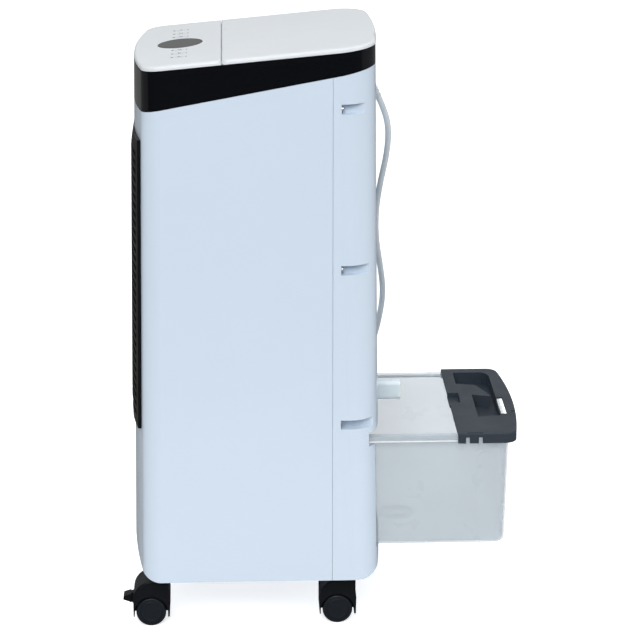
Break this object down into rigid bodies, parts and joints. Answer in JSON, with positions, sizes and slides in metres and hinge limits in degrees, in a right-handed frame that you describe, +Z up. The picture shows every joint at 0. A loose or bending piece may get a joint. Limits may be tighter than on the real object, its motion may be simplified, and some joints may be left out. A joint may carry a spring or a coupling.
{
  "type": "evaporative air cooler",
  "caption": "Upright air cooler on twin-wheel casters with a sloping touch panel, front outlet grille and a clear water tank that draws out at the rear.",
  "frame": {"origin": "on the floor, under the middle of the casing, half way between the stem axes left and right", "axes": "+Z up, -Y towards the air outlet at the front, +Y towards the water tank at the rear, +X to the right of a person facing the outlet from behind the cooler"},
  "size_m": [0.412, 0.4856, 0.7238],
  "materials": {
    "casing_plastic": "glossy pale blue-white moulding",
    "panel_plastic": "satin light grey-white moulding",
    "gloss_black": "piano-black gloss",
    "satin_black": "satin black",
    "inner_plastic": "matt light grey moulding",
    "screw_steel": "zinc-plated screw",
    "smoked_window": "smoked gloss lens",
    "circuit_board": "green solder mask",
    "motor_metal": "zinc-coated can",
    "wheel_plastic": "matt white moulding",
    "pad_paper": "resin-treated corrugated paper",
    "hose_clear": "milky silicone",
    "filter_mesh": "fine nylon mesh",
    "tank_clear": "translucent milky polypropylene",
    "cover_grey": "satin slate grey",
    "cord_pvc": "satin light grey PVC",
    "plated_pin": "bright nickel plate",
    "caster_black": "satin black nylon",
    "wheel_nylon": "blue-black nylon",
    "key_plastic": "satin light grey"
  },
  "bodies": {
    "body": {"base_tray": "inner_plastic", "blower_housing": "inner_plastic", "blower_motor": "motor_metal", "caster_collars": "caster_black", "caster_stems": "plated_pin", "control_board": "circuit_board", "control_panel": "panel_plastic", "cooling_pad": "pad_paper", "cord_coil": "cord_pvc", "cord_gland": "cord_pvc", "cord_tie": "satin_black", "display_window": "smoked_window", "dust_filter": "filter_mesh", "feed_pipe": "hose_clear", "fill_well": "inner_plastic", "front_housing": "casing_plastic", "head_band": "gloss_black", "housing_screws": "screw_steel", "intake_grille": "casing_plastic", "outlet_grille": "satin_black", "pad_frame": "inner_plastic", "plug_body": "cord_pvc", "plug_pins": "plated_pin", "power_board": "circuit_board", "power_cord": "cord_pvc", "rear_housing": "casing_plastic", "swing_motor": "motor_metal", "water_distributor": "inner_plastic"},
    "lid": {"top_lid": "panel_plastic", "lid_hinge_pins": "screw_steel"},
    "cool_key": {"cool_key": "key_plastic"},
    "mode_key": {"mode_key": "key_plastic"},
    "power_key": {"power_key": "key_plastic"},
    "speed_key": {"speed_key": "key_plastic"},
    "swing_key": {"swing_key": "key_plastic"},
    "timer_key": {"timer_key": "key_plastic"},
    "vane_1": {"swing_vane_1": "satin_black"},
    "vane_2": {"swing_vane_2": "satin_black"},
    "vane_3": {"swing_vane_3": "satin_black"},
    "vane_4": {"swing_vane_4": "satin_black"},
    "vane_5": {"swing_vane_5": "satin_black"},
    "vane_6": {"swing_vane_6": "satin_black"},
    "vane_link": {"vane_link_bar": "satin_black"},
    "fan": {"blower_wheel": "wheel_plastic"},
    "tank": {"tank_body": "tank_clear", "tank_cover": "cover_grey", "water_pump": "satin_black", "pump_hose": "hose_clear"},
    "latch": {"tank_latch": "casing_plastic"},
    "front_left_caster": {"front_left_caster_hood": "caster_black"},
    "front_left_wheels": {"front_left_caster_wheels": "wheel_nylon"},
    "front_left_pedal": {"front_left_brake_pedal": "caster_black"},
    "front_right_caster": {"front_right_caster_hood": "caster_black"},
    "front_right_wheels": {"front_right_caster_wheels": "wheel_nylon"},
    "front_right_pedal": {"front_right_brake_pedal": "caster_black"},
    "rear_left_caster": {"rear_left_caster_hood": "caster_black"},
    "rear_left_wheels": {"rear_left_caster_wheels": "wheel_nylon"},
    "rear_right_caster": {"rear_right_caster_hood": "caster_black"},
    "rear_right_wheels": {"rear_right_caster_wheels": "wheel_nylon"}
  },
  "joints": [
    {"name": "lid_hinge", "type": "hinge", "parent": "body", "child": "lid", "pos_m": [0, -0.03293, 0.70503], "axis": [1, 0, 0], "range_deg": [0, 85]},
    {"name": "cool_key_press", "type": "slide", "parent": "body", "child": "cool_key", "axis": [0, 0.0925, -0.9957], "range_m": [0, 0.0008], "stiffness_N_per_m": 400},
    {"name": "mode_key_press", "type": "slide", "parent": "body", "child": "mode_key", "axis": [0, 0.0925, -0.9957], "range_m": [0, 0.0008], "stiffness_N_per_m": 400},
    {"name": "power_key_press", "type": "slide", "parent": "body", "child": "power_key", "axis": [0, 0.0925, -0.9957], "range_m": [0, 0.0008], "stiffness_N_per_m": 400},
    {"name": "speed_key_press", "type": "slide", "parent": "body", "child": "speed_key", "axis": [0, 0.0925, -0.9957], "range_m": [0, 0.0008], "stiffness_N_per_m": 400},
    {"name": "swing_key_press", "type": "slide", "parent": "body", "child": "swing_key", "axis": [0, 0.0925, -0.9957], "range_m": [0, 0.0008], "stiffness_N_per_m": 400},
    {"name": "timer_key_press", "type": "slide", "parent": "body", "child": "timer_key", "axis": [0, 0.0925, -0.9957], "range_m": [0, 0.0008], "stiffness_N_per_m": 400},
    {"name": "vane_swing", "type": "hinge", "parent": "body", "child": "vane_1", "pos_m": [-0.08, -0.11, 0.434], "axis": [0, 0, 1], "range_deg": [-32, 32]},
    {"name": "vane_swing_2", "type": "hinge", "parent": "body", "child": "vane_2", "pos_m": [-0.048, -0.11, 0.434], "axis": [0, 0, 1], "range_deg": [-33, 33]},
    {"name": "vane_swing_3", "type": "hinge", "parent": "body", "child": "vane_3", "pos_m": [-0.016, -0.11, 0.434], "axis": [0, 0, 1], "range_deg": [-33, 33]},
    {"name": "vane_swing_4", "type": "hinge", "parent": "body", "child": "vane_4", "pos_m": [0.016, -0.11, 0.434], "axis": [0, 0, 1], "range_deg": [-33, 33]},
    {"name": "vane_swing_5", "type": "hinge", "parent": "body", "child": "vane_5", "pos_m": [0.048, -0.11, 0.434], "axis": [0, 0, 1], "range_deg": [-33, 33]},
    {"name": "vane_swing_6", "type": "hinge", "parent": "body", "child": "vane_6", "pos_m": [0.08, -0.11, 0.434], "axis": [0, 0, 1], "range_deg": [-33, 33]},
    {"name": "vane_link_pivot", "type": "hinge", "parent": "vane_1", "child": "vane_link", "pos_m": [-0.08, -0.1, 0.599], "axis": [0, 0, 1], "range_deg": [-33, 33]},
    {"name": "fan_spin", "type": "hinge", "parent": "body", "child": "fan", "pos_m": [0, -0.035, 0.434], "axis": [0, 0, 1], "continuous": true},
    {"name": "tank_slide", "type": "slide", "parent": "body", "child": "tank", "axis": [0, 1, 0], "range_m": [-0.171, 0.006]},
    {"name": "latch_turn", "type": "hinge", "parent": "body", "child": "latch", "pos_m": [0, 0.15, 0.2625], "axis": [0, 1, 0], "range_deg": [0, 180]},
    {"name": "front_left_swivel", "type": "hinge", "parent": "body", "child": "front_left_caster", "pos_m": [-0.0865, -0.1146, 0.06], "axis": [0, 0, 1], "continuous": true},
    {"name": "front_left_roll", "type": "hinge", "parent": "front_left_caster", "child": "front_left_wheels", "pos_m": [-0.0865, -0.0992, 0.0183], "axis": [1, 0, 0], "continuous": true},
    {"name": "front_left_brake", "type": "hinge", "parent": "front_left_caster", "child": "front_left_pedal", "pos_m": [-0.0865, -0.0817, 0.0358], "axis": [-1, 0, 0], "range_deg": [0, 12]},
    {"name": "front_right_swivel", "type": "hinge", "parent": "body", "child": "front_right_caster", "pos_m": [0.0865, -0.1146, 0.06], "axis": [0, 0, 1], "continuous": true},
    {"name": "front_right_roll", "type": "hinge", "parent": "front_right_caster", "child": "front_right_wheels", "pos_m": [0.0865, -0.13, 0.0183], "axis": [1, 0, 0], "continuous": true},
    {"name": "front_right_brake", "type": "hinge", "parent": "front_right_caster", "child": "front_right_pedal", "pos_m": [0.0865, -0.1475, 0.0358], "axis": [1, 0, 0], "range_deg": [0, 12]},
    {"name": "rear_left_swivel", "type": "hinge", "parent": "body", "child": "rear_left_caster", "pos_m": [-0.0865, 0.1138, 0.06], "axis": [0, 0, 1], "continuous": true},
    {"name": "rear_left_roll", "type": "hinge", "parent": "rear_left_caster", "child": "rear_left_wheels", "pos_m": [-0.0865, 0.0984, 0.0183], "axis": [1, 0, 0], "continuous": true},
    {"name": "rear_right_swivel", "type": "hinge", "parent": "body", "child": "rear_right_caster", "pos_m": [0.0865, 0.1138, 0.06], "axis": [0, 0, 1], "continuous": true},
    {"name": "rear_right_roll", "type": "hinge", "parent": "rear_right_caster", "child": "rear_right_wheels", "pos_m": [0.0865, 0.0984, 0.0183], "axis": [1, 0, 0], "continuous": true}
  ],
  "couplings": [
    {"joint": "vane_swing_2", "follows": "vane_swing", "ratio": 1},
    {"joint": "vane_swing_3", "follows": "vane_swing", "ratio": 1},
    {"joint": "vane_swing_4", "follows": "vane_swing", "ratio": 1},
    {"joint": "vane_swing_5", "follows": "vane_swing", "ratio": 1},
    {"joint": "vane_swing_6", "follows": "vane_swing", "ratio": 1},
    {"joint": "vane_link_pivot", "follows": "vane_swing", "ratio": -1}
  ]
}
